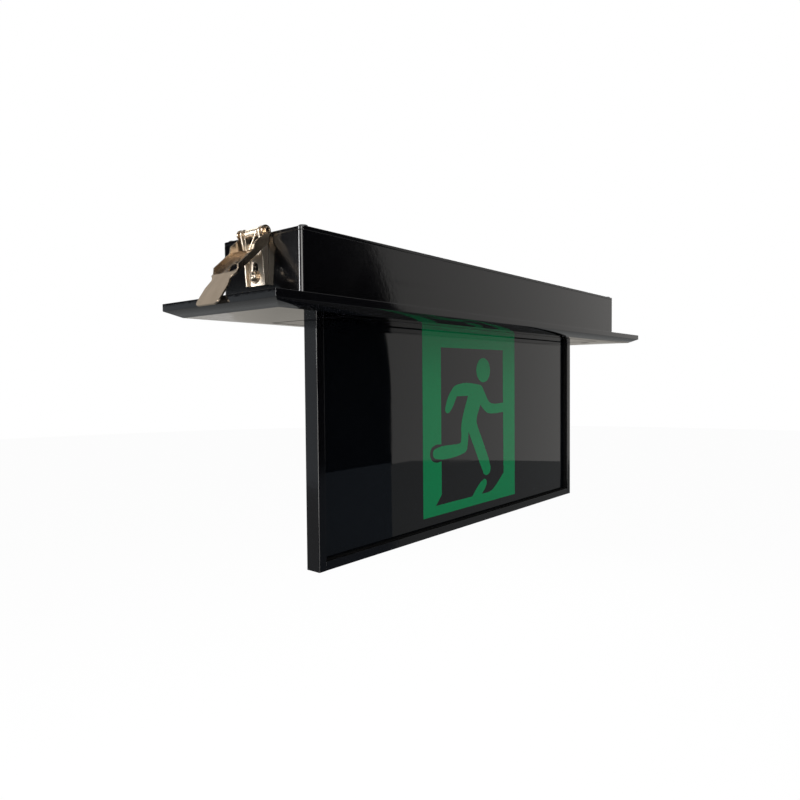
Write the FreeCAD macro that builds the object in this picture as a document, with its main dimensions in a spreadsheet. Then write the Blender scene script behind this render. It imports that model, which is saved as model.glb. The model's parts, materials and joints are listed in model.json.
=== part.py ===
import FreeCAD, Part
import math
import os
import re
import Sketcher

# Recessed emergency exit light with a hanging sign blade, in millimetres.
# Z is up and X runs along the blade. The origin is the centre of the ceiling plane, which is the top of
# the trim flange. The front of the sign looks towards negative Y.

sizes = {
    # sign blade
    "bladeLength": 317.0,
    "bladeThickness": 11.0,
    "bladeDrop": 153.0,  # bottom of the blade under the ceiling plane
    "bladeTop": 4.0,
    "bladeSlotGap": 0.2,
    "frameFace": 5.4,  # width of the frame as seen from the front
    "grooveDepth": 3.0,
    "panelThickness": 3.0,
    "panelGap": 0.1,
    "panelEdgeGap": 0.4,  # left between the panel's edge and the bottom of its groove
    "legendThickness": 0.5,
    "panelTop": 3.0,
    "cornerEase": 0.5,  # small round on the blade's long edges
    # trim flange
    "flangeReach": 28.0,  # how far the flange stands out past each end of the box
    "flangeSide": 14.75,  # and past each long side
    "lipHeight": 4.0,  # straight part of the edge
    "bevelDrop": 3.5,  # height of the bevel under the lip
    "bevelInset": 7.5,  # how far the bevel runs in
    "rimWidth": 3.0,  # rim round the gutter in the top face
    "gutterDepth": 2.5,
    "platformMargin": 2.0,  # how far the platform stands out round the box
    # carrier plate in the flange's underside
    "carrierMargin": 2.5,  # past each end of the blade
    "carrierWidth": 62.0,
    "carrierThickness": 3.0,
    "carrierGap": 0.3,
    "ledgeWidth": 6.0,  # ledge of the flange over each long side of the carrier
    # box above the ceiling
    "boxMargin": 33.5,  # past each end of the blade
    "boxHeight": 35.5,
    "boxCorner": 3.0,
    "boxWall": 1.2,
    "floorLip": 2.0,  # floor left beside its opening, inside the tray's legs
    "floorEndGap": 3.0,
    "coverThickness": 2.0,
    "coverFlangeDepth": 4.0,
    "coverFlangeGap": 0.25,
    "coverPostSide": 6.0,  # posts in the corners that the lid is screwed to
    # extrusion that grips the blade's top, and the light source
    "railMargin": 1.5,  # past each end of the blade
    "railWall": 2.4,
    "railGap": 0.1,
    "railHeight": 9.0,  # top of the extrusion over the ceiling plane
    "railWeb": 2.5,
    "railFootWidth": 6.0,
    "railFootThickness": 2.0,
    "ledBoardThickness": 1.2,
    "ledBoardWidth": 8.0,
    "ledBoardInset": 5.0,
    "ledChipSide": 3.0,
    "ledChipHeight": 0.7,
    "ledChipCount": 13,
    "ledEndMargin": 9.5,
    # gear tray over the extrusion
    "trayInset": 13.5,  # inside each end of the blade
    "trayWidth": 50.0,
    "trayHeight": 12.0,  # top of the tray over the ceiling plane
    "traySheet": 1.0,
    "trayFootReach": 7.8,
    "trayFootLength": 16.0,
    "trayFootPlace": 90.0,
    "traySideGap": 0.25,
    # driver board and what stands on it
    "boardInset": 89.0,  # board's middle to the tray's right end
    "boardLength": 126.0,
    "boardWidth": 44.0,
    "boardThickness": 1.6,
    "standoffHeight": 4.0,
    "standoffRadius": 2.9,  # over the corners of the hexagon
    "standoffInset": 5.0,
    "coreLength": 24.0,
    "coreWidth": 20.0,
    "coreHeight": 11.0,
    "coreBase": 2.0,
    "windingRadius": 5.0,
    "windingLength": 13.0,
    "windingSink": 0.4,
    "capacitorRadius": 5.0,
    "capacitorHeight": 11.0,
    "relayLength": 20.0,
    "relayWidth": 10.0,
    "relayHeight": 10.0,
    # battery
    "cellRadius": 7.1,
    "cellLength": 50.0,
    "cellPitch": 14.4,
    "cellInset": 53.0,  # battery's middle to the tray's left end
    "strapThickness": 0.8,
    "strapWidth": 8.0,
    "strapSpread": 15.0,
    "strapGap": 0.2,
    # terminal block and cable entry
    "terminalInset": 13.0,  # block's middle to the tray's right end
    "terminalLength": 16.0,
    "terminalWidth": 30.0,
    "terminalHeight": 14.0,
    "terminalPitch": 10.0,
    "wireWaySide": 4.5,
    "entryInset": 29.0,  # cable entry to the end of the box
    "entryOffset": 12.0,
    "entryBore": 4.0,
    "entryNeck": 7.0,
    "entryNeckGap": 0.1,
    "entryNeckDepth": 1.5,  # how far the bush reaches under the lid
    "entryCollar": 9.0,
    "entryCollarThickness": 1.5,
    "entryBevel": 1.0,
    # test button, lamp and their board
    "buttonInset": 14.0,  # button and lamp to the end of the box
    "buttonOffset": 11.5,  # button to the front, lamp to the back
    "buttonRadius": 3.8,
    "buttonHoleRadius": 4.1,
    "buttonRecess": 2.0,
    "buttonCollarRadius": 5.2,
    "buttonCollarThickness": 1.0,
    "buttonStemSide": 2.6,
    "buttonStemTop": 3.4,
    "buttonTravel": 1.0,
    "buttonSeatGap": 0.05,
    "switchGap": 0.2,  # left between stem and switch when the button is pressed in
    "lampRadius": 2.5,
    "lampHoleRadius": 2.6,
    "lampCollarRadius": 2.95,
    "lampCollarThickness": 1.0,
    "lampLegSide": 0.6,
    "switchBoardHeight": 9.0,
    "switchBoardLength": 19.0,
    "switchBoardWidth": 36.0,
    "switchBoardShift": 1.5,  # board's middle is this far inside the button's
    "switchSide": 8.0,
    "switchPostSpread": 6.5,
    # sprung clip on each end of the box
    "clipOffset": 1.0,  # the clip sits this far behind the middle of the box
    "pinStandoff": 3.2,  # rivet's axis to the end of the box
    "pinRise": 0.2,  # rivet's axis over the top of the box
    "pinRadius": 1.6,
    "pinBore": 1.0,
    "pinEnd": 1.4,  # how far the hollow rivet stands out beside the lever
    "pinGap": 0.06,
    "bracketWidth": 16.2,
    "bracketSheet": 1.0,
    "bracketFoot": 8.3,  # bottom of the bracket over the ceiling plane
    "bracketPlateDrop": 4.7,  # rivet's axis down to the plate's top
    "bracketEarGap": 0.4,  # ear's round end to the end of the box
    "bracketEarFoot": 2.7,
    "bracketEarWaist": 3.9,
    "bracketEarWaistDrop": 10.7,
    "slotOffset": 2.0,
    "slotWidth": 4.5,
    "slotLength": 9.8,
    "slotGap": 0.05,
    "clipScrewHeight": 13.3,
    "clipScrewRadius": 2.0,
    "clipScrewHead": 2.6,
    "clipScrewHeadHeight": 1.9,
    "clipScrewHole": 2.2,
    "clipScrewTip": 1.0,  # how far the screw stands out of its nut
    "washerRadius": 3.5,
    "washerThickness": 0.8,
    "nutRadius": 4.0,
    "nutThickness": 3.0,
    "threadGap": 0.05,
    "leverWidth": 21.8,
    "leverSheet": 0.9,
    "leverEarGap": 0.3,  # lever's round ear to the end of the box
    "leverWebDepth": 5.6,  # rivet's axis to the web's inner face
    "leverWebStart": 8.0,
    "leverWallStart": 3.4,
    "leverNeckStart": 2.8,  # where the walls' upper edge leaves the round ear
    "leverNeckHigh": 5.0,
    "leverWallHigh": 5.3,
    "leverWallHighEnd": 9.9,
    "leverWallLow": 3.1,
    "leverWallLowStart": 12.7,
    "leverWallEnd": 25.6,
    "leverChannelEnd": 28.2,
    "leverBendPlace": 29.0,
    "leverBend": 14.0,  # tongue's slope against the channel, in degrees
    "leverRestGap": 0.3,  # tongue to the flange's end edge
    "tongueOverlap": 0.3,  # how far the tongue reaches back into the web
    "tongueNeckStart": 0.5,
    "tongueNeckEnd": 3.8,
    "tongueNeckWidth": 16.2,
    "tongueNeckRound": 5.0,
    "tongueShoulder": 8.5,
    "tongueWidth": 19.6,
    "tongueLength": 19.7,
    "tongueTipRound": 3.0,
    "windowStart": 18.9,
    "windowEnd": 28.1,
    "windowRound": 5.6,
    "windowOffset": 4.0,
    "coilWire": 0.7,
    "coilTurns": 15,
    "coilSides": 12,
    "coilGap": 0.12,
    "coilPitchGap": 0.04,
    "coilGroove": 0.25,
    "springLegEnd": 12.5,
    "springLegSpread": 1.6,
}

doc = FreeCAD.newDocument("ExitLight")
sheet = doc.addObject("Spreadsheet::Sheet", "size")
for row, (alias, number) in enumerate(sizes.items(), start=1):
    sheet.set(f"A{row}", alias)
    sheet.set(f"B{row}", str(number))
    sheet.setAlias(f"B{row}", alias)
doc.recompute()

parts = []
upright = FreeCAD.Rotation()
turns = {
    "x": FreeCAD.Rotation(FreeCAD.Vector(0, 1, 0), 90),
    "y": FreeCAD.Rotation(FreeCAD.Vector(1, 0, 0), -90),
    "z": upright,
}

# lengths, heights and places that several pieces share
boxLength = "(bladeLength + 2 * boxMargin)"
boxWidth = "(trayWidth + 2 * (trayFootReach + traySideGap + boxWall))"
flangeLength = f"({boxLength} + 2 * flangeReach)"
flangeWidth = f"({boxWidth} + 2 * flangeSide)"
carrierLength = "(bladeLength + 2 * carrierMargin)"
railLength = "(bladeLength + 2 * railMargin)"
trayLength = "(bladeLength - 2 * trayInset)"
underside = "-(lipHeight + bevelDrop)"
carrierTop = f"{underside} + carrierThickness"
boxEnd = f"{boxLength} / 2"
wallTop = "boxHeight - coverThickness"
floorTop = "boxWall"
panelHalf = "bladeLength / 2 - frameFace + grooveDepth - panelEdgeGap"
panelBottom = "-bladeDrop + frameFace - grooveDepth + panelEdgeGap"
boardTop = "trayHeight + standoffHeight + boardThickness"
railHalf = "bladeThickness / 2 + railGap + railWall"
boardPlace = f"({trayLength} / 2 - boardInset)"
buttonPlace = f"({boxEnd} - buttonInset)"
ends = (("-1", "left"), ("1", "right"))
faces = (("-1", "front"), ("1", "back"))


def sheetName(found):
    name = found.group()
    return f"size.{name}" if name in sizes else name


def formula(text):
    # puts the sheet's name before the name of each size
    return re.sub(r"[A-Za-z]\w*", sheetName, text)


def value(text):
    return float(sheet.evalExpression(formula(text)))


def newBody(label):
    body = doc.addObject("PartDesign::Body", label)
    body.Label = label
    parts.append(body)
    return body


def place(feature, spot, turn=upright):
    feature.Placement = FreeCAD.Placement(FreeCAD.Vector(), turn)
    for axis, text in zip("xyz", spot):
        feature.setExpression(f".Placement.Base.{axis}", formula(text))


def block(body, name, low, extent, cut=False):
    # a box given by its lowest corner and its three lengths
    feature = body.newObject("PartDesign::SubtractiveBox" if cut else "PartDesign::AdditiveBox", name)
    for side, text in zip(("Length", "Width", "Height"), extent):
        feature.setExpression(side, formula(text))
    place(feature, low)
    return feature


def slab(body, name, middle, extent, cut=False):
    # a box given by the middle of its base and its three lengths
    x, y, z = middle
    low = (f"({x}) - ({extent[0]}) / 2", f"({y}) - ({extent[1]}) / 2", z)
    return block(body, name, low, extent, cut)


def rod(body, name, base, axis, radius, length, cut=False):
    kind = "PartDesign::SubtractiveCylinder" if cut else "PartDesign::AdditiveCylinder"
    feature = body.newObject(kind, name)
    feature.setExpression("Radius", formula(radius))
    feature.setExpression("Height", formula(length))
    place(feature, base, turns[axis])
    return feature


def hexagon(body, name, base, axis, radius, length):
    feature = body.newObject("PartDesign::AdditivePrism", name)
    feature.setExpression("Circumradius", formula(radius))
    feature.setExpression("Height", formula(length))
    place(feature, base, turns[axis])
    return feature


def sketchOn(body, name, plane, height="0"):
    sketch = body.newObject("Sketcher::SketchObject", name)
    support = next(item for item in body.Origin.OriginFeatures if item.Role == plane)
    sketch.AttachmentSupport = [(support, "")]
    sketch.MapMode = "FlatFace"
    sketch.setExpression(".AttachmentOffset.Base.z", formula(height))
    return sketch


def drawOutline(sketch, corners, arcs=None):
    # a closed outline; each corner is held by two dimensions, and arcs gives the radius and the turning
    # side of each stretch that isn't straight
    arcs = arcs or {}
    first = len(sketch.Geometry)
    spots = [FreeCAD.Vector(value(across), value(along), 0) for across, along in corners]
    tips = []
    for number, start in enumerate(spots):
        end = spots[(number + 1) % len(spots)]
        if number not in arcs:
            sketch.addGeometry(Part.LineSegment(start, end), False)
            tips.append((1, 2))
            continue
        radius, turn = value(arcs[number][0]), arcs[number][1]
        chord = end - start
        side = FreeCAD.Vector(-chord.y, chord.x, 0).normalize()
        centre = (start + end) / 2 + side * turn * math.sqrt(max(radius**2 - chord.Length**2 / 4, 0))
        begin, finish = (start, end) if turn > 0 else (end, start)
        angles = [math.atan2(spot.y - centre.y, spot.x - centre.x) for spot in (begin, finish)]
        circle = Part.Circle(centre, FreeCAD.Vector(0, 0, 1), radius)
        sketch.addGeometry(Part.ArcOfCircle(circle, angles[0], angles[1]), False)
        tips.append((1, 2) if turn > 0 else (2, 1))
    for number in range(len(spots)):
        after = (number + 1) % len(spots)
        joint = (first + number, tips[number][1], first + after, tips[after][0])
        sketch.addConstraint(Sketcher.Constraint("Coincident", *joint))
    for number, (across, along) in enumerate(corners):
        corner = (-1, 1, first + number, tips[number][0])
        for kind, text in (("DistanceX", across), ("DistanceY", along)):
            index = sketch.addConstraint(Sketcher.Constraint(kind, *corner, value(text)))
            sketch.setExpression(f"Constraints[{index}]", formula(text))
    for number, (radius, turn) in arcs.items():
        index = sketch.addConstraint(Sketcher.Constraint("Radius", first + number, value(radius)))
        sketch.setExpression(f"Constraints[{index}]", formula(radius))


def drawRectangle(sketch, length, width):
    signs = ((-1, -1), (1, -1), (1, 1), (-1, 1))
    drawOutline(sketch, [(f"{a} * ({length}) / 2", f"{b} * ({width}) / 2") for a, b in signs])


def pad(body, sketch, name, length, backwards=False):
    feature = body.newObject("PartDesign::Pad", name)
    feature.Profile = sketch
    feature.Reversed = backwards
    feature.setExpression("Length", formula(length))
    return feature


def pocket(body, sketch, name, length):
    feature = body.newObject("PartDesign::Pocket", name)
    feature.Profile = sketch
    feature.setExpression("Length", formula(length))
    return feature


def revolve(body, sketch, name):
    feature = body.newObject("PartDesign::Revolution", name)
    feature.Profile = sketch
    feature.ReferenceAxis = (sketch, ["V_Axis"])
    feature.Angle = 360
    return feature


def roundEdges(body, name, radius, chosen):
    # rounds the edges of the body's last feature that the given test picks
    doc.recompute()
    base = body.Tip
    edges = [f"Edge{number}" for number, edge in enumerate(base.Shape.Edges, start=1) if chosen(edge)]
    feature = body.newObject("PartDesign::Fillet", name)
    feature.Base = (base, edges)
    feature.setExpression("Radius", formula(radius))
    return feature


def runsAlong(edge, axis):
    if len(edge.Vertexes) != 2:
        return False
    step = edge.Vertexes[1].Point - edge.Vertexes[0].Point
    return abs(abs(step.normalize()[axis]) - 1) < 1e-6


def edgesAt(along, across, places):
    # a test that picks the straight edges that run along one axis at one of the given places on another
    def chosen(edge):
        if not runsAlong(edge, along):
            return False
        return min(abs(edge.Vertexes[0].Point[across] - place) for place in places) < 1e-3

    return chosen


def trimPlate():
    body = newBody("trim_plate")
    lip = sketchOn(body, "lipOutline", "XY_Plane")
    drawRectangle(lip, flangeLength, flangeWidth)
    pad(body, lip, "lip", "lipHeight", backwards=True)
    upper = sketchOn(body, "bevelStart", "XY_Plane", "-lipHeight")
    drawRectangle(upper, flangeLength, flangeWidth)
    lower = sketchOn(body, "bevelEnd", "XY_Plane", underside)
    drawRectangle(lower, f"{flangeLength} - 2 * bevelInset", f"{flangeWidth} - 2 * bevelInset")
    bevel = body.newObject("PartDesign::AdditiveLoft", "bevel")
    bevel.Profile = upper
    bevel.Sections = [lower]
    bevel.Ruled = True
    # gutter between the rim and the platform that the box stands on
    gutter = sketchOn(body, "gutterOutline", "XY_Plane")
    drawRectangle(gutter, f"{flangeLength} - 2 * rimWidth", f"{flangeWidth} - 2 * rimWidth")
    drawRectangle(gutter, f"{boxLength} + 2 * platformMargin", f"{boxWidth} + 2 * platformMargin")
    pocket(body, gutter, "gutter", "gutterDepth")
    # seat of the carrier plate, and the way through for the blade between the two ledges
    opening = (f"{carrierLength} + 2 * carrierGap", "carrierWidth + 2 * carrierGap")
    slab(body, "carrierSeat", ("0", "0", underside), (*opening, "carrierThickness"), True)
    way = (opening[0], "carrierWidth + 2 * carrierGap - 2 * ledgeWidth", "lipHeight + bevelDrop")
    slab(body, "wayThrough", ("0", "0", underside), way, True)
    deep = "lipHeight + bevelDrop"
    rod(body, "buttonHole", (buttonPlace, "-buttonOffset", underside), "z", "buttonHoleRadius", deep, True)
    rod(body, "lampHole", (buttonPlace, "buttonOffset", underside), "z", "lampHoleRadius", deep, True)


def carrierPlate():
    body = newBody("carrier_plate")
    outline = sketchOn(body, "plateOutline", "XY_Plane", underside)
    drawRectangle(outline, carrierLength, "carrierWidth")
    drawRectangle(outline, "bladeLength + 2 * bladeSlotGap", "bladeThickness + 2 * bladeSlotGap")
    pad(body, outline, "plate", "carrierThickness")


def housingShell():
    body = newBody("housing_shell")
    outline = sketchOn(body, "boxOutline", "XY_Plane")
    drawRectangle(outline, boxLength, boxWidth)
    pad(body, outline, "box", wallTop)
    roundEdges(body, "outerCorners", "boxCorner", lambda edge: runsAlong(edge, 2))
    inner = sketchOn(body, "innerOutline", "XY_Plane", wallTop)
    drawRectangle(inner, f"{boxLength} - 2 * boxWall", f"{boxWidth} - 2 * boxWall")
    pocket(body, inner, "hollow", f"{wallTop} - boxWall")
    opening = (f"{railLength} + 2 * floorEndGap", "trayWidth - 2 * floorLip", "boxWall")
    slab(body, "floorOpening", ("0", "0", "0"), opening, True)
    for across, end in ends:
        for side, face in faces:
            x = f"{across} * ({boxEnd} - boxWall - coverPostSide / 2)"
            y = f"{side} * ({boxWidth} / 2 - boxWall - coverPostSide / 2)"
            size = ("coverPostSide", "coverPostSide", f"{wallTop} - boxWall")
            slab(body, f"{end}Post{face}", (x, y, floorTop), size)
        start = f"{across} * ({boxEnd} - boxWall / 2) - boxWall"
        hole = (start, f"-({across}) * (clipOffset + slotOffset)", "clipScrewHeight")
        rod(body, f"clipHole{end}", hole, "x", "clipScrewHole", "2 * boxWall", True)
    rod(body, "buttonHole", (buttonPlace, "-buttonOffset", "0"), "z", "buttonHoleRadius", "boxWall", True)
    rod(body, "lampHole", (buttonPlace, "buttonOffset", "0"), "z", "lampHoleRadius", "boxWall", True)


def topCover():
    body = newBody("top_cover")
    outline = sketchOn(body, "coverOutline", "XY_Plane", wallTop)
    drawRectangle(outline, boxLength, boxWidth)
    pad(body, outline, "plate", "coverThickness")
    roundEdges(body, "corners", "boxCorner", lambda edge: runsAlong(edge, 2))
    # folded edge along each long side, inside the wall and short of the corner posts
    length = f"{boxLength} - 2 * (boxWall + coverPostSide + coverFlangeGap)"
    for side, face in faces:
        y = f"{side} * ({boxWidth} / 2 - boxWall - coverFlangeGap - boxWall / 2)"
        z = f"{wallTop} - coverFlangeDepth"
        slab(body, f"{face}Fold", ("0", y, z), (length, "boxWall", "coverFlangeDepth"))
    hole = (f"{boxEnd} - entryInset", "entryOffset", wallTop)
    rod(body, "entryHole", hole, "z", "entryNeck", "coverThickness", True)


def bladeFrame():
    groove = "panelThickness + 2 * panelGap"
    for sign, side in ends:
        body = newBody(f"blade_stile_{side}")
        outline = sketchOn(body, "section", "XY_Plane", "-bladeDrop")
        outer, inner = f"{sign} * bladeLength / 2", f"{sign} * (bladeLength / 2 - frameFace)"
        seat = f"{sign} * (bladeLength / 2 - frameFace + grooveDepth)"
        half, slot = "bladeThickness / 2", f"({groove}) / 2"
        corners = [(outer, f"-{half}"), (outer, half), (inner, half), (inner, slot), (seat, slot)]
        corners += [(seat, f"-{slot}"), (inner, f"-{slot}"), (inner, f"-{half}")]
        drawOutline(outline, corners)
        pad(body, outline, "stile", "bladeDrop + bladeTop")
        roundEdges(body, "easedEdges", "cornerEase", edgesAt(2, 0, [value(outer)]))
    body = newBody("blade_bottom_rail")
    outline = sketchOn(body, "section", "YZ_Plane", "-(bladeLength / 2 - frameFace)")
    bottom, top = "-bladeDrop", "-bladeDrop + frameFace"
    seat = "-bladeDrop + frameFace - grooveDepth"
    corners = [("-bladeThickness / 2", bottom), ("bladeThickness / 2", bottom), ("bladeThickness / 2", top)]
    corners += [(f"({groove}) / 2", top), (f"({groove}) / 2", seat), (f"-({groove}) / 2", seat)]
    corners += [(f"-({groove}) / 2", top), ("-bladeThickness / 2", top)]
    drawOutline(outline, corners)
    pad(body, outline, "rail", "bladeLength - 2 * frameFace")
    roundEdges(body, "easedEdges", "cornerEase", edgesAt(0, 2, [value(bottom)]))


def bladePanel():
    height = f"panelTop - ({panelBottom})"
    guide = newBody("light_guide")
    guideThickness = "panelThickness - 2 * legendThickness"
    slab(guide, "sheet", ("0", "0", panelBottom), (f"2 * ({panelHalf})", guideThickness, height))
    for sign, side in faces:
        legend = newBody(f"legend_sheet_{side}")
        middle = f"{sign} * (panelThickness - legendThickness) / 2"
        slab(legend, "film", ("0", middle, panelBottom), (f"2 * ({panelHalf})", "legendThickness", height))


def ledRail():
    body = newBody("led_rail")
    section = sketchOn(body, "section", "YZ_Plane", f"-{railLength} / 2")
    inner = "bladeThickness / 2 + railGap"
    foot, footTop = f"{railHalf} + railFootWidth", f"{carrierTop} + railFootThickness"
    under = "railHeight - railWeb"
    right = [(foot, footTop), (foot, carrierTop), (inner, carrierTop), (inner, under)]
    left = [(f"-({y})", z) for y, z in reversed(right)]
    crown = [(f"-({railHalf})", footTop), (f"-({railHalf})", "railHeight"), (railHalf, "railHeight")]
    drawOutline(section, right + left + crown + [(railHalf, footTop)])
    pad(body, section, "extrusion", railLength)

    board = newBody("led_board")
    under = "railHeight - railWeb - ledBoardThickness"
    extent = ("bladeLength - 2 * ledBoardInset", "ledBoardWidth", "ledBoardThickness")
    slab(board, "strip", ("0", "0", under), extent)

    chips = newBody("led_chips")
    pitch = "(bladeLength - 2 * ledBoardInset - 2 * ledEndMargin) / (ledChipCount - 1)"
    for number in range(int(value("ledChipCount"))):
        x = f"({number} - (ledChipCount - 1) / 2) * {pitch}"
        spot = (x, "0", "railHeight - railWeb - ledBoardThickness - ledChipHeight")
        slab(chips, f"chip{number}", spot, ("ledChipSide", "ledChipSide", "ledChipHeight"))


def gearTray():
    body = newBody("gear_tray")
    slab(body, "web", ("0", "0", "trayHeight - traySheet"), (trayLength, "trayWidth", "traySheet"))
    for across, end in ends:
        for side, face in faces:
            x = f"{across} * trayFootPlace"
            y = f"{side} * (trayWidth / 2 - traySheet / 2)"
            leg = ("trayFootLength", "traySheet", "trayHeight - boxWall")
            slab(body, f"{end}Leg{face}", (x, y, floorTop), leg)
            y = f"{side} * (trayWidth / 2 + trayFootReach / 2)"
            foot = ("trayFootLength", "trayFootReach", "traySheet")
            slab(body, f"{end}Foot{face}", (x, y, floorTop), foot)


def driver():
    board = newBody("driver_board")
    extent = ("boardLength", "boardWidth", "boardThickness")
    slab(board, "laminate", (boardPlace, "0", "trayHeight + standoffHeight"), extent)
    posts = newBody("board_standoffs")
    for across, end in ends:
        for side, face in faces:
            x = f"{boardPlace} + {across} * (boardLength / 2 - standoffInset)"
            y = f"{side} * (boardWidth / 2 - standoffInset)"
            hexagon(posts, f"{end}Post{face}", (x, y, "trayHeight"), "z", "standoffRadius", "standoffHeight")
    # two core halves on a base, with the winding between them sunk a little into the base
    coil = newBody("driver_transformer")
    spot = (f"{boardPlace} + boardLength / 6", "0", boardTop)
    slab(coil, "base", spot, ("coreLength", "coreWidth", "coreBase"))
    cheekLength = "(coreLength - windingLength) / 2"
    for sign, end in ends:
        x = f"{spot[0]} + {sign} * (coreLength - {cheekLength}) / 2"
        slab(coil, f"core{end}", (x, "0", boardTop), (cheekLength, "coreWidth", "coreHeight"))
    start = (f"{spot[0]} - windingLength / 2", "0", f"{boardTop} + coreBase - windingSink + windingRadius")
    rod(coil, "winding", start, "x", "windingRadius", "windingLength")
    capacitor = newBody("driver_capacitor")
    spot = (f"{boardPlace} - boardLength / 3", "0", boardTop)
    rod(capacitor, "can", spot, "z", "capacitorRadius", "capacitorHeight")
    relay = newBody("driver_relay")
    spot = (f"{boardPlace} - boardLength / 10", "0", boardTop)
    slab(relay, "case", spot, ("relayLength", "relayWidth", "relayHeight"))


def battery():
    # three cells side by side, wrapped tightly in film
    pack = newBody("battery_pack")
    place = f"(cellInset - {trayLength} / 2)"
    level = "trayHeight + cellRadius"
    for sign, end in ends:
        start = (f"{place} - cellLength / 2", f"{sign} * cellPitch", level)
        rod(pack, f"{end}Cell", start, "x", "cellRadius", "cellLength")
    slab(pack, "middle", (place, "0", "trayHeight"), ("cellLength", "2 * cellPitch", "2 * cellRadius"))
    straps = newBody("battery_straps")
    half = "cellPitch + cellRadius + strapGap"
    top = "trayHeight + 2 * cellRadius + strapGap"
    for sign, end in ends:
        x = f"{place} + {sign} * strapSpread"
        over = ("strapWidth", f"2 * ({half} + strapThickness)", "strapThickness")
        slab(straps, f"bridge{end}", (x, "0", top), over)
        for side, face in faces:
            y = f"{side} * ({half} + strapThickness / 2)"
            leg = ("strapWidth", "strapThickness", f"{top} + strapThickness - trayHeight")
            slab(straps, f"{end}Leg{face}", (x, y, "trayHeight"), leg)


def mainsEntry():
    terminals = newBody("terminal_block")
    x = f"({trayLength} / 2 - terminalInset)"
    extent = ("terminalLength", "terminalWidth", "terminalHeight")
    slab(terminals, "case", (x, "0", "trayHeight"), extent)
    for number, side in enumerate(("-1", "0", "1")):
        way = (x, f"{side} * terminalPitch", "trayHeight + terminalHeight / 4")
        slab(terminals, f"wireWay{number}", way, ("terminalLength", "wireWaySide", "wireWaySide"), True)
    ring = newBody("cable_grommet")
    place(ring, (f"{boxEnd} - entryInset", "entryOffset", wallTop))
    section = sketchOn(ring, "section", "XZ_Plane")
    low, high = "-entryNeckDepth", "coverThickness + entryCollarThickness"
    neck = "entryNeck - entryNeckGap"
    corners = [("entryBore", low), (neck, low), (neck, "coverThickness")]
    corners += [("entryCollar", "coverThickness"), ("entryCollar - entryBevel", high), ("entryBore", high)]
    drawOutline(section, corners)
    revolve(ring, section, "ring")


def testGear():
    button = newBody("test_button")
    x, y = buttonPlace, "-buttonOffset"
    collarBase = "boxWall + buttonSeatGap"
    bottom = f"{underside} + buttonRecess"
    rod(button, "cap", (x, y, bottom), "z", "buttonRadius", f"{collarBase} - ({bottom})")
    rod(button, "collar", (x, y, collarBase), "z", "buttonCollarRadius", "buttonCollarThickness")
    stemBase = f"{collarBase} + buttonCollarThickness"
    stem = ("buttonStemSide", "buttonStemSide", f"buttonStemTop - ({stemBase})")
    slab(button, "stem", (x, y, stemBase), stem)
    board = newBody("switch_board")
    extent = ("switchBoardLength", "switchBoardWidth", "boardThickness")
    boardMiddle = f"{buttonPlace} - switchBoardShift"
    slab(board, "laminate", (boardMiddle, "0", "switchBoardHeight"), extent)
    posts = newBody("switch_posts")
    for sign, end in ends:
        spot = (f"{boardMiddle} + {sign} * switchPostSpread", "0", floorTop)
        hexagon(posts, f"{end}Post", spot, "z", "standoffRadius", "switchBoardHeight - boxWall")
    switch = newBody("test_switch")
    base = "buttonStemTop + buttonTravel + switchGap"
    slab(switch, "case", (x, y, base), ("switchSide", "switchSide", f"switchBoardHeight - ({base})"))
    lamp = newBody("charge_lamp")
    spot = (x, "buttonOffset")
    rod(lamp, "lens", (*spot, underside), "z", "lampRadius", f"boxWall - ({underside})")
    rod(lamp, "collar", (*spot, floorTop), "z", "lampCollarRadius", "lampCollarThickness")
    for sign, end in ends:
        foot = (f"{x} + {sign} * lampRadius / 2", "buttonOffset", "boxWall + lampCollarThickness")
        height = "switchBoardHeight - boxWall - lampCollarThickness"
        slab(lamp, f"{end}Leg", foot, ("lampLegSide", "lampLegSide", height))


# the left clip's sizes are written in the part's own axes; the right clip is the same, turned half round
faceX = f"-({boxEnd})"
pinX = f"{faceX} - pinStandoff"
pinHeight = "(boxHeight + pinRise)"
earRadius = "(pinStandoff - bracketEarGap)"
leverEar = "(pinStandoff - leverEarGap)"
slotY = "clipOffset + slotOffset"


def halfTurn(side):
    angle = 0 if side == "left" else 180
    return FreeCAD.Placement(FreeCAD.Vector(), FreeCAD.Rotation(FreeCAD.Vector(0, 0, 1), angle))


def leverFrame():
    # the channel's slope is such that the bent tongue passes just outside the flange's end edge
    corner = FreeCAD.Vector(value(f"-{flangeLength} / 2"), 0, 0)
    pin = FreeCAD.Vector(value(pinX), 0, value(pinHeight))
    reach = corner - pin
    depth, bend = value("leverWebDepth"), math.radians(value("leverBend"))
    tongueDepth = depth * math.cos(bend) - value("leverBendPlace") * math.sin(bend)
    lean = math.asin((tongueDepth + value("leverRestGap")) / reach.Length)
    slope = math.atan2(-reach.z, -reach.x) - lean - bend
    along = FreeCAD.Vector(-math.cos(slope), 0, -math.sin(slope))
    outward = FreeCAD.Vector(-math.sin(slope), 0, math.cos(slope))
    foot = pin - outward * depth + FreeCAD.Vector(0, value("clipOffset"), 0)
    return FreeCAD.Placement(foot, FreeCAD.Rotation(along, FreeCAD.Vector(0, -1, 0), outward, "ZXY"))


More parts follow.
